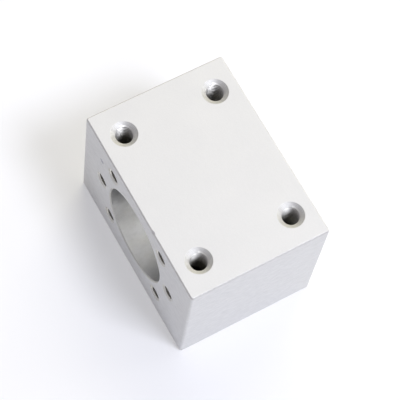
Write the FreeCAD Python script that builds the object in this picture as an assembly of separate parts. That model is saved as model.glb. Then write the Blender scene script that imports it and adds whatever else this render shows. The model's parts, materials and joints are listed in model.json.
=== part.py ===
import FreeCAD, Part
import math
import os

# Housing that carries the flanged nut of a ball screw: one block of aluminium alloy, machined all over.
# The nut's body slides into the bore, its flange is screwed to the front face, at -Y,
# and the moving carriage is screwed to the top face.
# Millimetres, +Z up. The origin is the middle of the bottom face, and the bore runs along Y.

# Block
WIDTH = 50.0             # along X
LENGTH = 36.0            # along Y, front face to rear face
AXIS_HEIGHT = 19.0       # bottom face to bore axis
AXIS_DROP = 17.0         # bore axis to top face
CORNER_ROUND = 0.6       # radius of the four upright edges
EDGE_BREAK = 0.3         # chamfer round the top and bottom faces

# Bore for the body of the nut
BORE_DIAMETER = 24.0
BORE_BREAK = 0.3         # chamfer at both ends of the bore

# Tapped holes for the screws of the nut's flange, in the front face
FLANGE_THREAD = 4.0
FLANGE_PITCH = 0.7
FLANGE_MOUTH = 4.5       # diameter of the countersink at the face
FLANGE_DEPTH = 12.0      # full drilled depth, without the point
FLANGE_LAND = 4.0        # bore wall to screw centre
FLANGE_ANGLES = (0, 45, 135, 180, 225, 315)

# Tapped holes for the screws of the carriage, in the top face
CARRIAGE_THREAD = 5.0
CARRIAGE_PITCH = 0.8
CARRIAGE_MOUTH = 6.5
CARRIAGE_SIDE_INSET = 7.5    # side face to screw centre
CARRIAGE_END_INSET = 6.0     # front or rear face to screw centre
CARRIAGE_WALL = 2.1          # metal left between a drill point and the flange screw hole under it

# Tools that make the tapped holes
SINK_ANGLE = 120.0
POINT_ANGLE = 118.0

# Knock on the front edge of the top face
KNOCK_X = 7.0
KNOCK_LENGTH = 1.5
KNOCK_DEPTH = 0.2        # below the chamfer

# How far a cutter stands out of the face that it cuts
PROUD = 1.0

# Values that follow from the ones above
height = AXIS_HEIGHT + AXIS_DROP
front = -LENGTH / 2
bore_radius = BORE_DIAMETER / 2
flange_circle = bore_radius + FLANGE_LAND
flange_drill = FLANGE_THREAD - FLANGE_PITCH
carriage_drill = CARRIAGE_THREAD - CARRIAGE_PITCH
carriage_x = WIDTH / 2 - CARRIAGE_SIDE_INSET
carriage_y = LENGTH / 2 - CARRIAGE_END_INSET

ORIGIN = FreeCAD.Vector(0, 0, 0)
UP = FreeCAD.Vector(0, 0, 1)
FORWARD = FreeCAD.Vector(0, -1, 0)


def half_tangent(angle):
    """Radius gained per unit of depth by a tool with this included angle, in degrees."""
    return math.tan(math.radians(angle / 2))


def point_height(drill):
    """Height of the cone that a drill of this diameter leaves at the bottom of its hole."""
    return drill / 2 / half_tangent(POINT_ANGLE)


def turned(half_section):
    """Solid of revolution about Z, from (radius, height) points that start and end on the axis."""
    points = [FreeCAD.Vector(radius, 0, z) for radius, z in half_section]
    outline = Part.makePolygon(points + points[:1])
    return Part.Face(outline).revolve(ORIGIN, UP, 360)


def placed(shape, position, direction):
    """Copy of a shape with its origin at a position and its own Z turned to a direction."""
    copy = shape.copy()
    copy.Placement = FreeCAD.Placement(position, FreeCAD.Rotation(UP, direction))
    return copy


def tapped_hole(drill, mouth, depth):
    """Cutter for a blind tapped hole: countersink, drilled wall and drill point, its mouth at the origin."""
    flare = half_tangent(SINK_ANGLE)
    sink = (mouth - drill) / 2 / flare
    return turned([
        (0, PROUD),
        (mouth / 2 + PROUD * flare, PROUD),
        (drill / 2, -sink),
        (drill / 2, -depth),
        (0, -depth - point_height(drill)),
    ])


def block():
    """Block with its upright edges rounded and the edges of its top and bottom faces chamfered."""
    corner = FreeCAD.Vector(-WIDTH / 2, front, 0)
    body = Part.makeBox(WIDTH, LENGTH, height, corner)
    upright = [edge for edge in body.Edges if edge.BoundBox.ZLength > EDGE_BREAK]
    body = body.makeFillet(CORNER_ROUND, upright)
    rims = [edge for edge in body.Edges if edge.BoundBox.ZLength < EDGE_BREAK]
    return body.makeChamfer(EDGE_BREAK, rims)


def bore():
    """Cutter for the through bore with its two chamfered ends, its middle at the origin."""
    wall_end = LENGTH / 2 - BORE_BREAK
    rim = bore_radius + BORE_BREAK + PROUD
    far = LENGTH / 2 + PROUD
    return turned([
        (0, far),
        (rim, far),
        (bore_radius, wall_end),
        (bore_radius, -wall_end),
        (rim, -far),
        (0, -far),
    ])


def flange_holes():
    """Cutters for the flange screws, on a circle round the bore and blind from the front face."""
    cutter = tapped_hole(flange_drill, FLANGE_MOUTH, FLANGE_DEPTH)
    holes = []
    for angle in FLANGE_ANGLES:
        turn = math.radians(angle)
        x = flange_circle * math.cos(turn)
        z = AXIS_HEIGHT + flange_circle * math.sin(turn)
        holes.append(placed(cutter, FreeCAD.Vector(x, front, z), FORWARD))
    return holes


def carriage_holes():
    """Cutters for the carriage screws, as deep as the flange screw holes at the sides let them be."""
    room = AXIS_DROP - flange_drill / 2
    depth = room - CARRIAGE_WALL - point_height(carriage_drill)
    cutter = tapped_hole(carriage_drill, CARRIAGE_MOUTH, depth)
    holes = []
    for x in (-carriage_x, carriage_x):
        for y in (-carriage_y, carriage_y):
            holes.append(placed(cutter, FreeCAD.Vector(x, y, height), UP))
    return holes


def knock():
    """Round cutter for the knock: a ball whose chord is the knock's length, sunk into the chamfered edge."""
    half_chord = KNOCK_LENGTH / 2
    radius = (half_chord ** 2 + KNOCK_DEPTH ** 2) / (2 * KNOCK_DEPTH)
    outward = FreeCAD.Vector(0, -1, 1).normalize()
    chamfer_middle = FreeCAD.Vector(KNOCK_X, front + EDGE_BREAK / 2, height - EDGE_BREAK / 2)
    centre = chamfer_middle + outward * (radius - KNOCK_DEPTH)
    return Part.makeSphere(radius, centre)


def nut_housing():
    """The whole housing: the block less its bore, its tapped holes and the knock."""
    bore_centre = FreeCAD.Vector(0, 0, AXIS_HEIGHT)
    cutters = [placed(bore(), bore_centre, FORWARD)]
    cutters += flange_holes()
    cutters += carriage_holes()
    cutters.append(knock())
    return block().cut(cutters).Solids[0]


os.makedirs("parts", exist_ok=True)
nut_housing().exportStep("parts/nut_housing.step")
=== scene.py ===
import json
import math
from typing import NamedTuple

import bmesh
import bpy
from bpy.props import FloatProperty, FloatVectorProperty, PointerProperty
from bpy.types import Operator, Panel, PropertyGroup
from mathutils import Matrix, Quaternion, Vector


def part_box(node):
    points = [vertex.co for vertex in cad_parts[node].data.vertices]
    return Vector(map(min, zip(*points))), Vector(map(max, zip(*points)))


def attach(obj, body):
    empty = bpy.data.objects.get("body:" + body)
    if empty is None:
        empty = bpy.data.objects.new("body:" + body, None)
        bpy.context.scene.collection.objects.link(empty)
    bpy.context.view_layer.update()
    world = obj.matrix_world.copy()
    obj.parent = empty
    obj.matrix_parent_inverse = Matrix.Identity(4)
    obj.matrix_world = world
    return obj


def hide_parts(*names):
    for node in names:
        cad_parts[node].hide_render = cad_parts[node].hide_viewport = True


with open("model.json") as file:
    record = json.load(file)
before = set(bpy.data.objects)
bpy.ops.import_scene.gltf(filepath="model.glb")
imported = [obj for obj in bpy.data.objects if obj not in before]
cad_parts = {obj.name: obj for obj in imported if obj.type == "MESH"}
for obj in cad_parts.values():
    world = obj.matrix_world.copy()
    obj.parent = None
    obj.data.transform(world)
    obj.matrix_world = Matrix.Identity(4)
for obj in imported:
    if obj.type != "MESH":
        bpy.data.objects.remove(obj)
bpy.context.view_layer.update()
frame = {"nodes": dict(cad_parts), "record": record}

bl_info = {
    "name": "Ball Screw Nut Housing",
    "version": (1, 0, 0),
    "blender": (4, 5, 0),
    "location": "3D View > Sidebar > Nut Housing",
    "description": "Models the housing of a ball nut on its packed frame, with its finish and studio",
    "category": "Object",
}

# The frame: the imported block, its box and its mounts.
# Metres, +Z up, with the bore along Y and the flange face at -Y.
NODE = "nut_housing"
BODY = "root"
MM = 0.001
LOW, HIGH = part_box(NODE)
CENTRE = (LOW + HIGH) / 2
MOUNTS = {mount["name"]: mount for mount in frame["record"]["mounts"]}
BORE = MOUNTS["nut_bore"]
CARRIAGE = MOUNTS["carriage_screws"]
FLANGE_CORNERS = MOUNTS["flange_screws_corners"]
FLANGE_SIDES = MOUNTS["flange_screws_sides"]
UP = Vector((0, 0, 1))
FORWARD = Vector((0, -1, 0))

# An ISO metric thread: the flat at its root, as a share of the pitch, and the slope of its flanks.
ROOT_FLAT = 1 / 8
FLANK_ANGLE = math.radians(30)

# How far a cutter stands out of the face that it cuts.
PROUD = 1.0 * MM
# A thread's cutter starts inside the drilled wall, at this share of its radius.
GROOVE_INSIDE = 0.95
# A thread's cutter thins out over its last turn, to this share of its reach.
GROOVE_END = 0.02
# The cone of a drill's cutter ends in a small flat, at this share of its radius.
BLUNT_TIP = 0.02
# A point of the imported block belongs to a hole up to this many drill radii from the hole's axis.
NEAR_AXIS = 1.02

# Facets round the holes and the rounded edges, and how often the ball of a dent is divided.
CARRIAGE_FACETS = 64
FLANGE_FACETS = 56
BORE_FACETS = 192
CORNER_FACETS = 6
CHAMFER_FACETS = 1
SOFTEN_FACETS = 2
DENT_DIVISIONS = 5

# An edge that climbs less than this is level.
LEVEL = 0.01 * MM
# How far a face's normal may lean and still count as level or upright.
FLAT = 0.02
# Faces that meet at less than this angle are shaded as one surface.
SMOOTH_ANGLE = math.radians(24)

# The Mix node shares its socket names between kinds, so its colour sockets go by number.
COLOUR_A = 6
COLOUR_B = 7
COLOUR_RESULT = 2
# Length of one band of the Wave texture at a scale of 1.
WAVE_BAND = math.tau / 20
# Noise stays near its middle, so a finish goes from one tone to the other over this half width round it.
NOISE_MIDDLE = 0.5
BLASTED_SPREAD = 0.14
BORED_SPREAD = 0.2
# The grain of the blasting is first squeezed to this half width, so that it is fainter than the mill lines.
GRAIN_SPREAD = 0.06
# Mill lines are five times as long as they are high, and the bore's streaks run a little along its axis.
MILL_STRETCH = (0.2, 0.2, 1.0)
BORE_STRETCH = (1.0, 0.6, 1.0)
# How strongly the tool's rings show in a countersink, beside its chatter.
RING_SHARE = 0.3

# Half the side of the floor, wide enough to fill every view, and the width of the camera's film.
FLOOR_HALF = 3.0
FILM_WIDTH_MM = 36.0


def linear(hex_colour):
    """sRGB hex text as linear red, green, blue and alpha."""
    channels = [int(hex_colour[i:i + 2], 16) / 255 for i in (1, 3, 5)]
    return [c / 12.92 if c <= 0.04045 else ((c + 0.055) / 1.055) ** 2.4 for c in channels] + [1.0]


def length(name, description, millimetres):
    """A length property, given in millimetres and kept in metres."""
    default = millimetres * MM
    return FloatProperty(name=name, description=description, default=default, unit="LENGTH", precision=5)


def angle(name, description, degrees):
    """An angle property, given in degrees and kept in radians."""
    return FloatProperty(name=name, description=description, default=math.radians(degrees), subtype="ANGLE")


def colour(name, description, hex_colour):
    """A colour property, given as sRGB hex."""
    return FloatVectorProperty(
        name=name, description=description, default=linear(hex_colour), size=4, min=0, max=1,
        subtype="COLOR",
    )


def power(name, description, watts):
    """A lamp's power property, in watts."""
    return FloatProperty(name=name, description=description, default=watts, min=0, unit="POWER")


def factor(name, description, default):
    """A property between 0 and 1."""
    return FloatProperty(name=name, description=description, default=default, min=0, max=1, subtype="FACTOR")


def roughness(name, description, smoothest, roughest):
    """A roughness property: that of the smoothest and of the roughest patches of a finish."""
    return FloatVectorProperty(
        name=name, description=description, default=(smoothest, roughest), size=2, min=0, max=1,
    )


class HousingSizes(PropertyGroup):
    """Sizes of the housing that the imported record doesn't give."""

    corner_round: length("Corner round", "Radius of the four upright edges", 0.6)
    edge_break: length("Edge break", "Chamfer round the top and bottom faces", 0.3)
    edge_soften: length("Edge soften", "Rounding that blasting leaves on the chamfers", 0.05)
    bore_break: length("Bore break", "Chamfer at both ends of the bore", 0.3)
    carriage_thread: length("Carriage thread", "Thread diameter of the holes in the top face", 5.0)
    carriage_pitch: length("Carriage pitch", "Thread pitch of the holes in the top face", 0.8)
    carriage_mouth: length("Carriage mouth", "Countersink diameter at the top face", 6.5)
    flange_thread: length("Flange thread", "Thread diameter of the holes round the bore", 4.0)
    flange_pitch: length("Flange pitch", "Thread pitch of the holes round the bore", 0.7)
    flange_mouth: length("Flange mouth", "Countersink diameter at the front face", 4.5)
    thread_runout: length("Thread run-out", "Plain drilled wall left under the thread", 2.0)
    thread_start: angle("Thread start", "Turn at which the thread of a pattern's first hole starts", 80)
    thread_turn: angle("Thread turn", "Turn from one hole's thread start to the next one's", -12)
    sink_angle: angle("Sink angle", "Included angle of the countersinks", 120)
    point_angle: angle("Point angle", "Included angle of the drill point", 118)
    knock_place: length("Knock place", "Where the knock lies along the front top edge", 7.0)
    knock_length: length("Knock length", "Length of the knock along the edge", 1.5)
    knock_depth: length("Knock depth", "Depth of the knock below the chamfer", 0.2)
    pit_place: length("Pit place", "Where the pit lies across the front face", -16.6)
    pit_height: length("Pit height", "Height of the pit in the front face", 28.7)
    pit_width: length("Pit width", "Diameter of the pit in the front face", 1.5)
    pit_depth: length("Pit depth", "Depth of the pit in the front face", 0.2)


class HousingFinish(PropertyGroup):
    """Colours, gloss and grain of the housing's surfaces."""

    blasted_light: colour("Blasted, light", "Lighter tone of the blasted faces", "#EAEAE9")
    blasted_dark: colour("Blasted, dark", "Darker tone of the blasted faces", "#DEDEDD")
    blasted_roughness: roughness("Blasted, roughness", "Roughness of the blasted faces", 0.72, 0.78)
    bored_light: colour("Bored, light", "Lighter tone of the bored wall", "#FDFDFB")
    bored_dark: colour("Bored, dark", "Darker tone of the bored wall", "#EDEDEA")
    bored_roughness: roughness("Bored, roughness", "Roughness of the bored wall", 0.29, 0.37)
    worn_light: colour("Worn edge, light", "Rubbed bare metal on the chamfers", "#EAE9E6")
    worn_dark: colour("Worn edge, dark", "Duller stretches of the chamfers", "#D2D0CC")
    worn_roughness: roughness("Worn edge, roughness", "Roughness of the chamfers", 0.50, 0.66)
    sunk_light: colour("Countersunk, light", "Lighter tone of the countersinks", "#DFDED9")
    sunk_dark: colour("Countersunk, dark", "Darker tone of the countersinks", "#C6C5BF")
    sunk_roughness: roughness("Countersunk, roughness", "Roughness of the countersinks", 0.58, 0.68)
    pitted_light: colour("Pitted, light", "Lighter tone of the pit in the front face", "#C2C2C8")
    pitted_dark: colour("Pitted, dark", "Darker tone of the pit in the front face", "#A0A0A8")
    pitted_roughness: roughness("Pitted, roughness", "Roughness of the pit in the front face", 0.42, 0.60)
    # Tapped threads: a light tone near a hole's mouth, then painted shade that darkens them deeper in the
    # hole, between the two depths below.
    tapped_light: colour("Tapped, light", "Threads near the mouth of a hole", "#E0DED6")
    tapped_painted_shade: colour("Tapped, dark", "Threads deep in a hole", "#5E5C55")
    tapped_roughness: roughness("Tapped, roughness", "Roughness of the threads", 0.43, 0.55)
    painted_shade_start: length("Tapped, bright", "Depth to which the threads of a hole stay bright", 2.0)
    painted_shade_full: length("Tapped, deep", "Depth at which the threads of a hole are darkest", 7.0)
    blast_grain: length("Blast grain", "Size of one pit of the blasted skin", 0.35)
    grain_height: length("Grain height", "Height of the pits of the blasted skin", 0.012)
    blast_ripple: length("Blast ripple", "Width of the ripple left by milling and blasting", 1.3)
    ripple_height: length("Ripple height", "Height of the ripple left by milling and blasting", 0.02)
    cloud: length("Cloud", "Width of the clouds that anodising leaves", 8.0)
    mill_line: length("Mill line", "Height of the lines left by milling on the upright faces", 0.35)
    mill_share: factor("Mill share", "How far the mill lines hide the grain on the upright faces", 0.8)
    sunk_ring: length("Sink ring", "Depth between the tool's rings in the countersinks", 0.16)
    chatter: length("Chatter", "Spacing of the chatter marks of the cutting tools", 0.5)
    chatter_height: length("Chatter height", "Height of the chatter marks and the tool's rings", 0.02)
    bore_streak: length("Bore streak", "Width of the streaks along the bored wall", 1.5)
    bore_feed: length("Bore feed", "Spacing of the boring tool's marks", 0.25)
    feed_height: length("Feed height", "Height of the boring tool's marks", 0.01)


class StudioSettings(PropertyGroup):
    """Camera and light."""

    azimuth: angle("Azimuth", "Way round the object to the camera, from the front face", 49.87)
    elevation: angle("Elevation", "Height of the camera over the horizon", 66.34)
    roll: angle("Roll", "Tilt of the camera about its own axis", 11.79)
    distance: length("Distance", "Camera to the point that it looks at", 410.9)
    aim: FloatVectorProperty(
        name="Aim", description="Point that the camera looks at",
        default=(-1.2 * MM, 0.5 * MM, 18 * MM), subtype="TRANSLATION",
    )
    lens: FloatProperty(
        name="Lens", description="Focal length, in millimetres", default=155.8, unit="CAMERA",
    )
    floor_colour: colour("Floor", "Paint of the floor", "#F4F4F4")
    floor_glow: factor("Floor glow", "Share of the floor that is plain white to the eye", 0.34)
    ambient_colour: colour("Ambient", "Soft light from all round", "#9F9EA8")
    lamp_distance: length("Lamp distance", "Each lamp to the object", 1630)
    key_azimuth: angle("Key azimuth", "Way round to the key lamp, from the front face", 116)
    key_elevation: angle("Key elevation", "Height of the key lamp over the horizon", 58)
    key_side: length("Key side", "Width of the square key lamp", 500)
    key_power: power("Key power", "Power of the key lamp", 18.2)
    key_colour: colour("Key colour", "Tint of the key lamp", "#EEF1FF")
    back_azimuth: angle("Back azimuth", "Way round to the back lamp, from the front face", 228)
    back_elevation: angle("Back elevation", "Height of the back lamp over the horizon", 45)
    back_side: length("Back side", "Width of the square back lamp", 1100)
    back_power: power("Back power", "Power of the back lamp", 11.8)
    back_colour: colour("Back colour", "Tint of the back lamp", "#FFFADE")
    rear_azimuth: angle("Rear azimuth", "Way round to the low rear lamp, from the front face", 170)
    rear_elevation: angle("Rear elevation", "Height of the low rear lamp over the horizon", 5)
    rear_side: length("Rear side", "Width of the square low rear lamp", 600)
    rear_power: power("Rear power", "Power of the low rear lamp, which shines through the bore", 9.5)
    rear_colour: colour("Rear colour", "Tint of the low rear lamp", "#FFFFFF")


class HoleKind(NamedTuple):
    """What all tapped holes of one kind share."""

    name: str
    drill: float
    thread: float
    pitch: float
    mouth: float
    facets: int


def add_node(tree, kind, inputs=None, **settings):
    """Adds a node, sets its attributes, and gives each named or numbered input a value or a link."""
    node = tree.nodes.new(kind)
    for name, value in settings.items():
        setattr(node, name, value)
    for name, value in (inputs or {}).items():
        if isinstance(value, bpy.types.NodeSocket):
            tree.links.new(value, node.inputs[name])
        else:
            node.inputs[name].default_value = value
    return node


def blank_material(name):
    """A material with an empty node tree."""
    material = bpy.data.materials.new(name)
    material.use_nodes = True
    material.node_tree.nodes.clear()
    return material


def show_metal(tree, tone, sheen, relief, more=None):
    """Ends a metal's tree, from the nodes of its tone, sheen and relief, and more inputs of its shader."""
    metal = add_node(tree, "ShaderNodeBsdfPrincipled", {
        "Base Color": tone.outputs[COLOUR_RESULT], "Metallic": 1.0,
        "Roughness": sheen.outputs["Result"], "Normal": relief.outputs["Normal"], **(more or {}),
    })
    add_node(tree, "ShaderNodeOutputMaterial", {"Surface": metal.outputs["BSDF"]})


def blasted_anodised_aluminium(finish):
    """Aluminium alloy, milled, fine blasted and clear anodised, on the block's faces."""
    # To the eye it is a pale satin skin with a fine grain, which scatters every reflection.
    # On the upright faces, faint level lines of the milling still show through.
    material = blank_material("aluminium_fine_blasted_clear_anodised")
    tree = material.node_tree
    coordinates = add_node(tree, "ShaderNodeTexCoord").outputs
    place = coordinates["Object"]
    # The pits of the blasting. Real grit is about 0.1 mm, too fine to show, so the grain is drawn coarser.
    grain = add_node(tree, "ShaderNodeTexNoise", {
        "Vector": place, "Scale": 1 / finish.blast_grain, "Detail": 3.0, "Roughness": 0.6,
    })
    # The shallow ripple that milling and blasting leave together.
    ripple = add_node(tree, "ShaderNodeTexNoise", {
        "Vector": place, "Scale": 1 / finish.blast_ripple, "Detail": 2.0,
    })
    # Slow clouds in the gloss, left by the anodising bath.
    clouds = add_node(tree, "ShaderNodeTexNoise", {
        "Vector": place, "Scale": 1 / finish.cloud, "Detail": 2.0,
    })
    # Level lines of the milling cutter, nearly blasted away.
    stretched = add_node(tree, "ShaderNodeVectorMath", {0: place, 1: MILL_STRETCH}, operation="MULTIPLY")
    lines = add_node(tree, "ShaderNodeTexNoise", {
        "Vector": stretched.outputs["Vector"], "Scale": 1 / finish.mill_line,
        "Detail": 4.0, "Roughness": 0.7,
    })
    # The more upright a face is, the more of its speckle is lines.
    facing = add_node(tree, "ShaderNodeSeparateXYZ", {"Vector": coordinates["Normal"]})
    lean = add_node(tree, "ShaderNodeMath", {0: facing.outputs["Z"]}, operation="ABSOLUTE")
    upright = add_node(tree, "ShaderNodeMapRange", {
        "Value": lean.outputs[0], "To Min": finish.mill_share, "To Max": 0.0,
    })
    faint = add_node(tree, "ShaderNodeMapRange", {
        "Value": grain.outputs["Fac"],
        "To Min": NOISE_MIDDLE - GRAIN_SPREAD, "To Max": NOISE_MIDDLE + GRAIN_SPREAD,
    })
    speckle = add_node(tree, "ShaderNodeMix", {
        "Factor": upright.outputs["Result"], "A": faint.outputs["Result"], "B": lines.outputs["Fac"],
    })
    contrast = add_node(tree, "ShaderNodeMapRange", {
        "Value": speckle.outputs["Result"],
        "From Min": NOISE_MIDDLE - BLASTED_SPREAD, "From Max": NOISE_MIDDLE + BLASTED_SPREAD,
    })
    tone = add_node(tree, "ShaderNodeMix", {
        "Factor": contrast.outputs["Result"], COLOUR_A: finish.blasted_dark, COLOUR_B: finish.blasted_light,
    }, data_type="RGBA")
    smoothest, roughest = finish.blasted_roughness
    sheen = add_node(tree, "ShaderNodeMapRange", {
        "Value": clouds.outputs["Fac"], "To Min": smoothest, "To Max": roughest,
    })
    waves = add_node(tree, "ShaderNodeBump", {
        "Height": ripple.outputs["Fac"], "Strength": 1.0, "Distance": finish.ripple_height,
    })
    relief = add_node(tree, "ShaderNodeBump", {
        "Height": grain.outputs["Fac"], "Strength": 1.0, "Distance": finish.grain_height,
        "Normal": waves.outputs["Normal"],
    })
    show_metal(tree, tone, sheen, relief)
    return material


def bored_aluminium(finish):
    """Bare bored aluminium, on the wall of the bore."""
    # To the eye it is brighter and glossier than the blasted skin, in soft patches.
    # The rings of the boring tool smear reflections along the axis.
    material = blank_material("aluminium_bored")
    tree = material.node_tree
    place = add_node(tree, "ShaderNodeTexCoord").outputs["Object"]
    # Rings one feed apart, too fine to show singly, which break up the gloss.
    rings = add_node(tree, "ShaderNodeTexWave", {
        "Vector": place, "Scale": WAVE_BAND / finish.bore_feed, "Distortion": 1.2, "Detail": 2.0,
    }, bands_direction="Y")
    # Streaks along the axis, where the tool and the parts put in have rubbed.
    stretched = add_node(tree, "ShaderNodeVectorMath", {0: place, 1: BORE_STRETCH}, operation="MULTIPLY")
    streaks = add_node(tree, "ShaderNodeTexNoise", {
        "Vector": stretched.outputs["Vector"], "Scale": 1 / finish.bore_streak,
        "Detail": 5.0, "Roughness": 0.75,
    })
    contrast = add_node(tree, "ShaderNodeMapRange", {
        "Value": streaks.outputs["Fac"],
        "From Min": NOISE_MIDDLE - BORED_SPREAD, "From Max": NOISE_MIDDLE + BORED_SPREAD,
    })
    tone = add_node(tree, "ShaderNodeMix", {
        "Factor": contrast.outputs["Result"], COLOUR_A: finish.bored_dark, COLOUR_B: finish.bored_light,
    }, data_type="RGBA")
    smoothest, roughest = finish.bored_roughness
    sheen = add_node(tree, "ShaderNodeMapRange", {
        "Value": contrast.outputs["Result"], "To Min": smoothest, "To Max": roughest,
    })
    relief = add_node(tree, "ShaderNodeBump", {
        "Height": rings.outputs["Fac"], "Strength": 0.25, "Distance": finish.feed_height,
    })
    # The tangent runs round the axis, and a quarter turn lays the smear along it.
    round_axis = add_node(tree, "ShaderNodeTangent", direction_type="RADIAL", axis="Y")
    show_metal(tree, tone, sheen, relief, {
        "Anisotropic": 0.8, "Anisotropic Rotation": 0.25, "Tangent": round_axis.outputs["Tangent"],
    })
    return material


def bared_aluminium(name, finish, light, dark, gloss):
    """Aluminium whose blasted skin is gone: two tones and a changing gloss, in the patches of chatter."""
    material = blank_material(name)
    tree = material.node_tree
    place = add_node(tree, "ShaderNodeTexCoord").outputs["Object"]
    chatter = add_node(tree, "ShaderNodeTexNoise", {
        "Vector": place, "Scale": 1 / finish.chatter, "Detail": 2.0,
    })
    tone = add_node(tree, "ShaderNodeMix", {
        "Factor": chatter.outputs["Fac"], COLOUR_A: dark, COLOUR_B: light,
    }, data_type="RGBA")
    smoothest, roughest = gloss
    sheen = add_node(tree, "ShaderNodeMapRange", {
        "Value": chatter.outputs["Fac"], "To Min": smoothest, "To Max": roughest,
    })
    relief = add_node(tree, "ShaderNodeBump", {
        "Height": chatter.outputs["Fac"], "Strength": 0.15, "Distance": finish.chatter_height,
    })
    show_metal(tree, tone, sheen, relief)
    return material


def worn_aluminium(finish):
    """Aluminium cut by a chamfering tool and rubbed by handling, on the edges and in the knock."""
    # To the eye it is a thin line along each edge, glossier than the faces and uneven along its length.
    return bared_aluminium(
        "aluminium_chamfered_worn", finish, finish.worn_light, finish.worn_dark, finish.worn_roughness,
    )


def pitted_aluminium(finish):
    """Aluminium struck by something small, in the pit of the front face."""
    # To the eye it is a spot that is darker and bluer than the face round it.
    return bared_aluminium(
        "aluminium_pitted", finish, finish.pitted_light, finish.pitted_dark, finish.pitted_roughness,
    )


def depth_in_holes(tree, place):
    """Depth of each point below the top face or inside the front or rear face, whichever is nearer."""
    at = add_node(tree, "ShaderNodeSeparateXYZ", {"Vector": place}).outputs
    below_top = add_node(tree, "ShaderNodeMath", {0: HIGH.z, 1: at["Z"]}, operation="SUBTRACT")
    off_middle = add_node(tree, "ShaderNodeMath", {0: at["Y"]}, operation="ABSOLUTE")
    inside_end = add_node(tree, "ShaderNodeMath", {
        0: HIGH.y, 1: off_middle.outputs[0],
    }, operation="SUBTRACT")
    nearer = add_node(tree, "ShaderNodeMath", {
        0: below_top.outputs[0], 1: inside_end.outputs[0],
    }, operation="MINIMUM")
    return nearer.outputs[0]


def countersunk_aluminium(finish):
    """Aluminium cut by a countersink, at the mouths of the holes and the ends of the bore."""
    # To the eye it is pale and a little glossier than the faces, with rings that catch the light in turn.
    material = blank_material("aluminium_countersunk")
    tree = material.node_tree
    place = add_node(tree, "ShaderNodeTexCoord").outputs["Object"]
    # Rings of the tool. Real ones are about 0.05 mm apart, too fine to show, so they are drawn wider.
    turn = add_node(tree, "ShaderNodeMath", {
        0: depth_in_holes(tree, place), 1: math.tau / finish.sunk_ring,
    }, operation="MULTIPLY")
    rings = add_node(tree, "ShaderNodeMath", {0: turn.outputs[0]}, operation="SINE")
    chatter = add_node(tree, "ShaderNodeTexNoise", {
        "Vector": place, "Scale": 1 / finish.chatter, "Detail": 2.0,
    })
    uneven = add_node(tree, "ShaderNodeMath", {
        0: rings.outputs[0], 1: RING_SHARE, 2: chatter.outputs["Fac"],
    }, operation="MULTIPLY_ADD")
    tone = add_node(tree, "ShaderNodeMix", {
        "Factor": uneven.outputs[0], COLOUR_A: finish.sunk_dark, COLOUR_B: finish.sunk_light,
    }, data_type="RGBA")
    smoothest, roughest = finish.sunk_roughness
    sheen = add_node(tree, "ShaderNodeMapRange", {
        "Value": chatter.outputs["Fac"], "To Min": smoothest, "To Max": roughest,
    })
    relief = add_node(tree, "ShaderNodeBump", {
        "Height": uneven.outputs[0], "Strength": 0.6, "Distance": finish.chatter_height,
    })
    show_metal(tree, tone, sheen, relief)
    return material


def tapped_aluminium(finish):
    """Tapped aluminium, on the threads and the drilled ends of the holes, with painted shade deeper in each
    hole.
    """
    # To the eye it is bright and glossy at the mouth. Deeper down its colour is painted darker, as shade
    # inside the hole.
    material = blank_material("aluminium_tapped")
    tree = material.node_tree
    place = add_node(tree, "ShaderNodeTexCoord").outputs["Object"]
    chatter = add_node(tree, "ShaderNodeTexNoise", {
        "Vector": place, "Scale": 1 / finish.chatter, "Detail": 2.0,
    })
    # Painted shade: the tone darkens with depth in the hole, a little unevenly with the chatter.
    patchy = add_node(tree, "ShaderNodeMath", {
        0: chatter.outputs["Fac"], 1: finish.painted_shade_start, 2: depth_in_holes(tree, place),
    }, operation="MULTIPLY_ADD")
    deep = add_node(tree, "ShaderNodeMapRange", {
        "Value": patchy.outputs[0], "From Min": finish.painted_shade_start, "From Max": finish.painted_shade_full,
    })
    tone = add_node(tree, "ShaderNodeMix", {
        "Factor": deep.outputs["Result"], COLOUR_A: finish.tapped_light, COLOUR_B: finish.tapped_painted_shade,
    }, data_type="RGBA")
    smoothest, roughest = finish.tapped_roughness
    sheen = add_node(tree, "ShaderNodeMapRange", {
        "Value": chatter.outputs["Fac"], "To Min": smoothest, "To Max": roughest,
    })
    relief = add_node(tree, "ShaderNodeBump", {
        "Height": chatter.outputs["Fac"], "Strength": 0.15, "Distance": finish.chatter_height,
    })
    show_metal(tree, tone, sheen, relief)
    return material


def new_object(name, bm, materials):
    """Turns a bmesh into a linked object with its materials."""
    bmesh.ops.recalc_face_normals(bm, faces=bm.faces)
    mesh = bpy.data.meshes.new(name)
    bm.to_mesh(mesh)
    bm.free()
    for material in materials:
        mesh.materials.append(material)
    made = bpy.data.objects.new(name, mesh)
    bpy.context.scene.collection.objects.link(made)
    return made


def standing(position, direction):
    """Placement that puts the origin at a position and turns +Z to a direction."""
    turn = UP.rotation_difference(direction).to_matrix().to_4x4()
    return Matrix.Translation(position) @ turn


def swept(rings, finishes=None):
    """A closed bmesh through rings of equally many points, with flat ends and a finish for each band."""
    bm = bmesh.new()
    rows = [[bm.verts.new(point) for point in ring] for ring in rings]
    for band, (row, following) in enumerate(zip(rows, rows[1:])):
        for i, corner in enumerate(row):
            face = bm.faces.new((row[i - 1], corner, following[i], following[i - 1]))
            face.material_index = finishes[band] if finishes else 0
    bm.faces.new(rows[0])
    bm.faces.new(rows[-1])
    return bm


def turned(half_section, facets, finishes):
    """A closed bmesh of revolution about Z, from (radius, height) points between its two flat ends."""
    circle = [(math.cos(a), math.sin(a)) for a in (math.tau * i / facets for i in range(facets))]
    rings = [[(radius * c, radius * s, z) for c, s in circle] for radius, z in half_section]
    return swept(rings, finishes)


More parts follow.
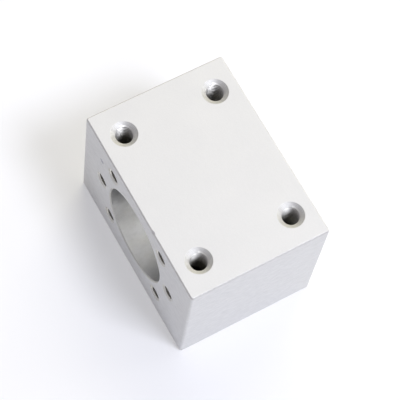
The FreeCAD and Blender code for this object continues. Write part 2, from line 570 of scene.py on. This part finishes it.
def drilled_depth(kind, position, direction, tip):
    """Depth of a hole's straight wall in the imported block: its deepest point, less its drill's tip."""
    deepest = 0.0
    for vertex in frame["nodes"][NODE].data.vertices:
        offset = vertex.co - position
        along = -offset.dot(direction)
        if (offset + along * direction).length < kind.drill / 2 * NEAR_AXIS:
            deepest = max(deepest, along)
    return deepest - tip


def drilled_hole(kind, depth, tip, sink_angle):
    """A hole before it is tapped: its countersink has the first finish, its wall and tip the second."""
    flare = math.tan(sink_angle / 2)
    radius = kind.drill / 2
    sink = (kind.mouth - kind.drill) / 2 / flare
    return turned([
        (kind.mouth / 2 + PROUD * flare, PROUD),
        (radius, -sink),
        (radius, -depth),
        (radius * BLUNT_TIP, -depth - tip * (1 - BLUNT_TIP)),
    ], kind.facets, finishes=(0, 1, 1))


def thread_groove(kind, depth, start):
    """The helical groove that a tap cuts, from a start turn above the mouth to its run-out."""
    inside = kind.drill / 2 * GROOVE_INSIDE
    outside = kind.thread / 2
    half_root = kind.pitch * ROOT_FLAT / 2
    steps = int((depth + PROUD) / kind.pitch * kind.facets)
    rings = []
    for step in range(steps + 1):
        turn = start - math.tau * step / kind.facets
        z = PROUD - kind.pitch * step / kind.facets
        fade = min(1.0, (steps - step) / kind.facets + GROOVE_END)
        reach = inside + (outside - inside) * fade
        half_mouth = half_root + (reach - inside) * math.tan(FLANK_ANGLE)
        section = [(inside, -half_mouth), (reach, -half_root), (reach, half_root), (inside, half_mouth)]
        rings.append([(r * math.cos(turn), r * math.sin(turn), z + rise) for r, rise in section])
    bm = swept(rings)
    # A helix twists its faces. As triangles they are flat, and the cut body's triangles meet edge to edge.
    bmesh.ops.triangulate(bm, faces=bm.faces[:])
    return bm


def tapped_holes(kind, places, direction, sizes, sunk, tapped):
    """Cutters of blind tapped holes of one kind: for each place, the drilled hole and its thread groove."""
    tip = kind.drill / 2 / math.tan(sizes.point_angle / 2)
    cutters = []
    for i, position in enumerate(places):
        depth = drilled_depth(kind, position, direction, tip)
        hole = drilled_hole(kind, depth, tip, sizes.sink_angle)
        start = sizes.thread_start + i * sizes.thread_turn
        groove = thread_groove(kind, depth - sizes.thread_runout, start)
        for bm in (hole, groove):
            bm.transform(standing(position, direction))
        cutters.append(new_object(f"{kind.name}_{i}_drill", hole, (sunk, tapped)))
        cutters.append(new_object(f"{kind.name}_{i}_thread", groove, (tapped,)))
    return cutters


def pattern(mount):
    """Offsets of a bolt pattern's holes from its centre, along X and its second direction."""
    dims = mount["dims"]
    half_x = dims["spacing_x_mm"] * MM / 2
    half_y = dims.get("spacing_y_mm", 0) * MM / 2
    rows = (-half_y, half_y) if half_y else (0.0,)
    return [(x, y) for x in (-half_x, half_x) for y in rows]


def drill_of(mount):
    """Diameter of a bolt pattern's holes."""
    return 2 * mount["dims"]["hole_r_mm"] * MM


def carriage_cutters(sizes, sunk, tapped):
    """Cutters of the tapped holes in the top face."""
    kind = HoleKind(
        name="carriage_hole", drill=drill_of(CARRIAGE), thread=sizes.carriage_thread,
        pitch=sizes.carriage_pitch, mouth=sizes.carriage_mouth, facets=CARRIAGE_FACETS,
    )
    places = [Vector((x, y, HIGH.z)) for x, y in pattern(CARRIAGE)]
    return tapped_holes(kind, places, UP, sizes, sunk, tapped)


def flange_cutters(sizes, sunk, tapped):
    """Cutters of the tapped holes round the bore, in the front face."""
    kind = HoleKind(
        name="flange_hole", drill=drill_of(FLANGE_CORNERS), thread=sizes.flange_thread,
        pitch=sizes.flange_pitch, mouth=sizes.flange_mouth, facets=FLANGE_FACETS,
    )
    axis_height = BORE["pos_m"][2]
    offsets = pattern(FLANGE_CORNERS) + pattern(FLANGE_SIDES)
    places = [Vector((x, LOW.y, axis_height + z)) for x, z in offsets]
    return tapped_holes(kind, places, FORWARD, sizes, sunk, tapped)


def bore_cutter(sizes, bored, sunk):
    """Cutter of the through bore and the chamfers at its ends."""
    radius = BORE["dims"]["r_mm"] * MM
    half = (HIGH.y - LOW.y) / 2
    wall_end = half - sizes.bore_break
    rim = radius + sizes.bore_break + PROUD
    bm = turned([
        (rim, half + PROUD),
        (radius, wall_end),
        (radius, -wall_end),
        (rim, -half - PROUD),
    ], BORE_FACETS, finishes=(1, 0, 1))
    bm.transform(standing(Vector(BORE["pos_m"]), FORWARD))
    return new_object("bore", bm, (bored, sunk))


def dent_cutter(name, middle, outward, chord, depth, material):
    """Ball that leaves a round dent of this chord and depth in a surface, at its middle."""
    half_chord = chord / 2
    radius = (half_chord ** 2 + depth ** 2) / (2 * depth)
    centre = middle + outward * (radius - depth)
    bm = bmesh.new()
    bmesh.ops.create_icosphere(
        bm, subdivisions=DENT_DIVISIONS, radius=radius, matrix=Matrix.Translation(centre),
    )
    return new_object(name, bm, (material,))


def dent_cutters(sizes, worn, pitted):
    """Cutters of the knock on the front top edge and of the pit in the front face."""
    half_break = sizes.edge_break / 2
    on_chamfer = Vector((sizes.knock_place, LOW.y + half_break, HIGH.z - half_break))
    on_front = Vector((sizes.pit_place, LOW.y, sizes.pit_height))
    off_edge = (UP + FORWARD).normalized()
    return [
        dent_cutter("knock", on_chamfer, off_edge, sizes.knock_length, sizes.knock_depth, worn),
        dent_cutter("pit", on_front, FORWARD, sizes.pit_width, sizes.pit_depth, pitted),
    ]


def climb(edge):
    """How far an edge of a bmesh climbs."""
    return abs(edge.verts[0].co.z - edge.verts[1].co.z)


def bevel(bm, edges, offset, facets):
    """Bevels edges of a bmesh evenly, and gives the faces that this makes."""
    made = bmesh.ops.bevel(bm, geom=edges, offset=offset, segments=facets, profile=0.5, affect="EDGES")
    return made["faces"]


def block_mesh(sizes):
    """The block without its holes; its faces have the first finish, and its chamfers the second."""
    bm = bmesh.new()
    scale = Matrix.Diagonal((*(HIGH - LOW), 1.0))
    bmesh.ops.create_cube(bm, size=1.0, matrix=Matrix.Translation(CENTRE) @ scale)
    upright = [edge for edge in bm.edges if climb(edge) > LEVEL]
    bevel(bm, upright, sizes.corner_round, CORNER_FACETS)
    rims = [edge for edge in bm.edges if climb(edge) < LEVEL]
    chamfers = bevel(bm, rims, sizes.edge_break, CHAMFER_FACETS)
    # Blasting softens the two long borders of each chamfer. A dict keeps them in order, each one once.
    borders = dict.fromkeys(edge for face in chamfers for edge in face.edges if climb(edge) < LEVEL)
    bevel(bm, list(borders), sizes.edge_soften, SOFTEN_FACETS)
    for face in bm.faces:
        face.material_index = int(FLAT < abs(face.normal.z) < 1 - FLAT)
    return bm


def modify(body, kind, **settings):
    """Puts a modifier on the body and applies it to its mesh."""
    modifier = body.modifiers.new(kind, kind)
    for name, value in settings.items():
        setattr(modifier, name, value)
    evaluated = body.evaluated_get(bpy.context.evaluated_depsgraph_get())
    result = bpy.data.meshes.new_from_object(evaluated)
    body.modifiers.clear()
    before = body.data
    body.data = result
    bpy.data.meshes.remove(before)


def cut(body, cutters):
    """Cuts all cutters out of the body at once, and removes them."""
    group = bpy.data.collections.new("cutters")
    bpy.context.scene.collection.children.link(group)
    for cutter in cutters:
        group.objects.link(cutter)
    modify(
        body, "BOOLEAN", operation="DIFFERENCE", operand_type="COLLECTION", collection=group,
        solver="MANIFOLD", material_mode="TRANSFER",
    )
    for cutter in cutters:
        bpy.data.meshes.remove(cutter.data)
    bpy.data.collections.remove(group)


def shade(body):
    """Shades round surfaces as smooth, and keeps flat faces flat up to their softened edges."""
    body.data.shade_smooth()
    body.data.set_sharp_from_angle(angle=SMOOTH_ANGLE)
    modify(body, "WEIGHTED_NORMAL", keep_sharp=True)


class NUTHOUSING_OT_body(Operator):
    """Model the housing: the block, its bore, its tapped holes and its two dents, in their finishes"""

    bl_idname = "nut_housing.body"
    bl_label = "Housing"

    def execute(self, context):
        sizes = context.scene.nut_housing_sizes
        finish = context.scene.nut_housing_finish
        blasted = blasted_anodised_aluminium(finish)
        bored = bored_aluminium(finish)
        sunk = countersunk_aluminium(finish)
        tapped = tapped_aluminium(finish)
        worn = worn_aluminium(finish)
        pitted = pitted_aluminium(finish)
        body = new_object("housing_block", block_mesh(sizes), (blasted, worn))
        cutters = [bore_cutter(sizes, bored, sunk), *dent_cutters(sizes, worn, pitted)]
        cutters += carriage_cutters(sizes, sunk, tapped)
        cutters += flange_cutters(sizes, sunk, tapped)
        cut(body, cutters)
        shown = {body.data.materials[face.material_index] for face in body.data.polygons}
        if shown != {blasted, bored, sunk, tapped, worn, pitted}:
            raise RuntimeError("a cutter missed the block")
        shade(body)
        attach(body, BODY)
        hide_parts(NODE)
        return {"FINISHED"}


def floor_material(studio):
    """Matt white paint, on the floor."""
    # To the eye, and in the metal's reflections, it is nearer plain white than its light makes it.
    # It still takes the object's shadow.
    material = blank_material("floor_matt_white_paint")
    tree = material.node_tree
    paint = add_node(tree, "ShaderNodeBsdfDiffuse", {"Color": studio.floor_colour})
    white = add_node(tree, "ShaderNodeEmission", {"Strength": 1.0})
    path = add_node(tree, "ShaderNodeLightPath").outputs
    direct = add_node(tree, "ShaderNodeMath", {
        0: path["Is Camera Ray"], 1: path["Is Glossy Ray"],
    }, operation="ADD")
    seen = add_node(tree, "ShaderNodeMath", {
        0: direct.outputs[0], 1: path["Is Transmission Ray"],
    }, operation="ADD", use_clamp=True)
    share = add_node(tree, "ShaderNodeMath", {
        0: seen.outputs[0], 1: studio.floor_glow,
    }, operation="MULTIPLY")
    mixed = add_node(tree, "ShaderNodeMixShader", {
        0: share.outputs[0], 1: paint.outputs["BSDF"], 2: white.outputs["Emission"],
    })
    add_node(tree, "ShaderNodeOutputMaterial", {"Surface": mixed.outputs["Shader"]})
    return material


def make_floor(studio):
    """A wide square floor under the object."""
    bm = bmesh.new()
    bmesh.ops.create_grid(
        bm, x_segments=1, y_segments=1, size=FLOOR_HALF, matrix=Matrix.Translation((0, 0, LOW.z)),
    )
    floor = new_object("floor", bm, (floor_material(studio),))


def make_ambient(studio):
    """Plain soft light from all round."""
    world = bpy.data.worlds.new("studio")
    world.use_nodes = True
    tree = world.node_tree
    tree.nodes.clear()
    light = add_node(tree, "ShaderNodeBackground", {"Color": studio.ambient_colour})
    add_node(tree, "ShaderNodeOutputWorld", {"Surface": light.outputs["Background"]})
    bpy.context.scene.world = world


def look_from(azimuth, elevation):
    """Direction from the object to something at an azimuth from the front face and an elevation."""
    flat = math.cos(elevation)
    return Vector((math.sin(azimuth) * flat, -math.cos(azimuth) * flat, math.sin(elevation)))


def make_lamp(studio, name):
    """One of the square soft lamps, by the name that its settings start with."""
    lamp = bpy.data.lights.new(name, "AREA")
    lamp.size = getattr(studio, name + "_side")
    lamp.energy = getattr(studio, name + "_power")
    lamp.color = getattr(studio, name + "_colour")[:3]
    back = look_from(getattr(studio, name + "_azimuth"), getattr(studio, name + "_elevation"))
    made = bpy.data.objects.new(name, lamp)
    made.location = CENTRE + back * studio.lamp_distance
    made.rotation_mode = "QUATERNION"
    made.rotation_quaternion = (-back).to_track_quat("-Z", "Y")
    bpy.context.scene.collection.objects.link(made)


def make_camera(studio):
    """The camera at the photograph's angle."""
    back = look_from(studio.azimuth, studio.elevation)
    data = bpy.data.cameras.new("camera")
    data.lens = studio.lens
    data.sensor_width = FILM_WIDTH_MM
    camera = bpy.data.objects.new("camera", data)
    camera.location = Vector(studio.aim) + back * studio.distance
    camera.rotation_mode = "QUATERNION"
    camera.rotation_quaternion = (-back).to_track_quat("-Z", "Y") @ Quaternion(UP, studio.roll)
    bpy.context.scene.collection.objects.link(camera)
    bpy.context.scene.camera = camera


class NUTHOUSING_OT_stage(Operator):
    """Set the floor, the soft light and the camera"""

    bl_idname = "nut_housing.stage"
    bl_label = "Studio"

    def execute(self, context):
        studio = context.scene.nut_housing_studio
        make_floor(studio)
        make_ambient(studio)
        for name in ("key", "back", "rear"):
            make_lamp(studio, name)
        make_camera(studio)
        context.scene.view_settings.view_transform = "Standard"
        return {"FINISHED"}


class NUTHOUSING_PT_panel(Panel):
    """Lists the steps that make the housing and its studio, and their settings"""

    bl_label = "Nut Housing"
    bl_space_type = "VIEW_3D"
    bl_region_type = "UI"
    bl_category = "Nut Housing"

    def draw(self, context):
        for operator in (NUTHOUSING_OT_body, NUTHOUSING_OT_stage):
            self.layout.operator(operator.bl_idname)
        for group_name, group in GROUPS.items():
            column = self.layout.column()
            for name in group.__annotations__:
                column.prop(getattr(context.scene, group_name), name)


GROUPS = {
    "nut_housing_sizes": HousingSizes,
    "nut_housing_finish": HousingFinish,
    "nut_housing_studio": StudioSettings,
}
CLASSES = (*GROUPS.values(), NUTHOUSING_OT_body, NUTHOUSING_OT_stage, NUTHOUSING_PT_panel)


def register():
    """Registers the classes and hangs the property groups on the scene."""
    for cls in CLASSES:
        bpy.utils.register_class(cls)
    for name, group in GROUPS.items():
        setattr(bpy.types.Scene, name, PointerProperty(type=group))


def unregister():
    """Undoes register."""
    for name in GROUPS:
        delattr(bpy.types.Scene, name)
    for cls in reversed(CLASSES):
        bpy.utils.unregister_class(cls)


def main():
    """Makes the housing and its studio."""
    register()
    bpy.ops.nut_housing.body()
    bpy.ops.nut_housing.stage()


if __name__ == "__main__":
    main()
